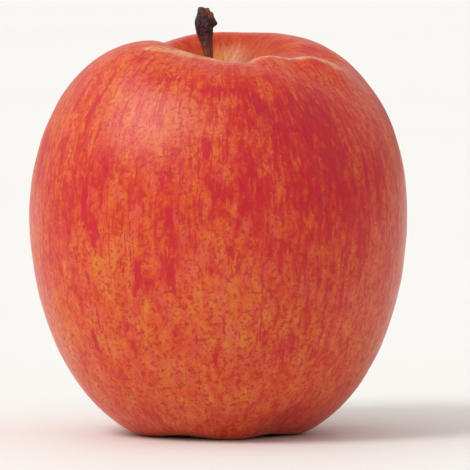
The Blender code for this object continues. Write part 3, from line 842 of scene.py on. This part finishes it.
def makeDryMaterial(name, dark, pale, spotSize, sheen):
    material, tree = newMaterial(name)
    place = addNode(tree, "ShaderNodeTexCoord").outputs["Object"]
    millimetres = addNode(tree, "ShaderNodeVectorMath", {"operation": "SCALE", "Scale": 1 / mm}, {0: place})
    grain = addNode(tree, "ShaderNodeTexNoise", {"Scale": 1 / spotSize, "Detail": 5, "Roughness": 0.65},
                    {"Vector": millimetres.outputs[0]})
    shown = addNode(tree, "ShaderNodeMapRange", {
        **eased, "From Min": 0.38, "From Max": 0.64},
        {"Value": grain.outputs["Fac"]})
    colour = addNode(tree, "ShaderNodeMix", {"data_type": "RGBA", 6: dark, 7: pale}, {0: shown.outputs[0]})
    bump = addNode(tree, "ShaderNodeBump", {"Strength": 0.6, "Distance": 0.00008},
                   {"Height": grain.outputs["Fac"]})
    shader = addNode(tree, "ShaderNodeBsdfPrincipled", {
        "Roughness": 0.88, "IOR": 1.45, "Specular IOR Level": 0.25, "Sheen Weight": sheen,
        "Sheen Roughness": 0.5},
        {"Base Color": colour.outputs[2], "Normal": bump.outputs[0]})
    addNode(tree, "ShaderNodeOutputMaterial", {}, {"Surface": shader.outputs[0]})
    return material


# withered leaf with a grey down, which catches the light at its edges
sepalMaterial = makeDryMaterial("dried sepal, brown and downy", "#55381f", "#a58a5a", 0.5, 0.25)
# withered threads, yellow brown and brittle
threadMaterial = makeDryMaterial("dried flower thread, brittle", "#5b381c", "#a97c42", 0.35, 0.05)
for number, (length, curl, bend, twist) in enumerate(sepals["each"]):
    azimuth = sepals["firstAzimuth"] + 360 / len(sepals["each"]) * number
    leaf = makeSepal(length, curl, bend, twist, azimuth)
    finishPiece(leaf, f"driedSepal{number + 1}", [f"sepal_{number + 1}"], sepalMaterial)
finishPiece(makeStamens(), "driedStamens", ["stamens"], threadMaterial, 50)
finishPiece(makeStyles(), "driedStyles", ["styles"], threadMaterial, 50)
print("flower parts made")


# The floor and the light

floor = {
    "size": 40,  # metres
    "drop": 0.05,  # mm below the feet
    "colours": ("#edeceb", "#f0efed"),
}
light = {
    # how bright the room is at each height, from 0 at the horizon to 1 straight above. At the horizon and
    # below it is as white as the floor, for low views that see past it.
    "room": [(0.0, 0.95), (0.02, 0.34), (0.20, 0.60), (0.42, 0.88), (0.85, 0.40)],
    "tint": (1, 0.975, 0.925),
    "lean": 0.17,  # how much brighter it is on the left, and darker on the right
    "key": {"from": (-0.53, -0.44, 0.74), "strength": 1.38, "angle": 22, "colour": "#ffffff"},
    "top": {"from": (-0.25, 0.10, 1.0), "strength": 0.95, "angle": 100, "colour": "#ffffff"},
    "softbox": {"from": (-0.56, -0.34, 0.76), "aim": (0, 0, 0.07), "size": (0.62, 0.60), "distance": 0.85,
                "brightness": 6.0},
}


def addStage():
    bpy.ops.mesh.primitive_plane_add(size=floor["size"], location=(0, 0, -floor["drop"] * mm))
    board = bpy.context.object
    board.name = "tableTop"
    material, tree = newMaterial("matt white table board")
    # smooth painted board: even and white, with a faint cloudiness and almost no shine
    place = addNode(tree, "ShaderNodeTexCoord").outputs["Object"]
    cloud = addNode(tree, "ShaderNodeTexNoise", {"Scale": 3, "Detail": 2}, {"Vector": place})
    first, second = floor["colours"]
    colour = addNode(tree, "ShaderNodeMix", {"data_type": "RGBA", 6: first, 7: second},
                     {0: cloud.outputs["Fac"]})
    shader = addNode(tree, "ShaderNodeBsdfPrincipled", {"Roughness": 0.55, "Specular IOR Level": 0.1},
                     {"Base Color": colour.outputs[2]})
    addNode(tree, "ShaderNodeOutputMaterial", {}, {"Surface": shader.outputs[0]})
    board.data.materials.append(material)


def addLights():
    world = bpy.data.worlds.new("soft white studio")
    world.use_nodes = True
    bpy.context.scene.world = world
    tree = world.node_tree
    tree.nodes.clear()
    direction = addNode(tree, "ShaderNodeTexCoord").outputs["Generated"]
    towards = addNode(tree, "ShaderNodeSeparateXYZ", {}, {0: direction})
    ramp = addNode(tree, "ShaderNodeValToRGB", {}, {0: towards.outputs["Z"]})
    stops = ramp.color_ramp.elements
    while len(stops) < len(light["room"]):
        stops.new(1.0)
    for stop, (height, brightness) in zip(stops, light["room"]):
        stop.position = height
        stop.color = (*[brightness * share for share in light["tint"]], 1)
    leaning = addNode(tree, "ShaderNodeMath", {"operation": "MULTIPLY_ADD", 1: -light["lean"], 2: 1.0},
                      {0: towards.outputs["X"]})
    room = addNode(tree, "ShaderNodeBackground", {},
                   {"Color": ramp.outputs[0], "Strength": leaning.outputs[0]})
    addNode(tree, "ShaderNodeOutputWorld", {}, {"Surface": room.outputs[0]})

    for name in ("key", "top"):
        lamp = light[name]
        toLight = Vector(lamp["from"]).normalized()
        bpy.ops.object.light_add(type="SUN", location=toLight)
        made = bpy.context.object
        made.name = f"{name} light"
        made.rotation_euler = toLight.to_track_quat("Z", "Y").to_euler()
        made.data.energy = lamp["strength"]
        made.data.angle = math.radians(lamp["angle"])
        made.data.color = linearColour(lamp["colour"])[:3]
        made.visible_glossy = False
    # the softbox in front of the key light is what the wax mirrors
    box = light["softbox"]
    toLight = Vector(box["from"]).normalized()
    bpy.ops.object.light_add(type="AREA", location=Vector(box["aim"]) + toLight * box["distance"])
    made = bpy.context.object
    made.name = "softbox"
    made.rotation_euler = toLight.to_track_quat("Z", "Y").to_euler()
    made.data.shape = "RECTANGLE"
    made.data.size, made.data.size_y = box["size"]
    made.data.energy = box["brightness"] * math.pi * box["size"][0] * box["size"][1]
    made.visible_diffuse = False
    made.visible_camera = False


addStage()
addLights()
bpy.context.scene.view_settings.view_transform = "Standard"
print("floor and light placed")
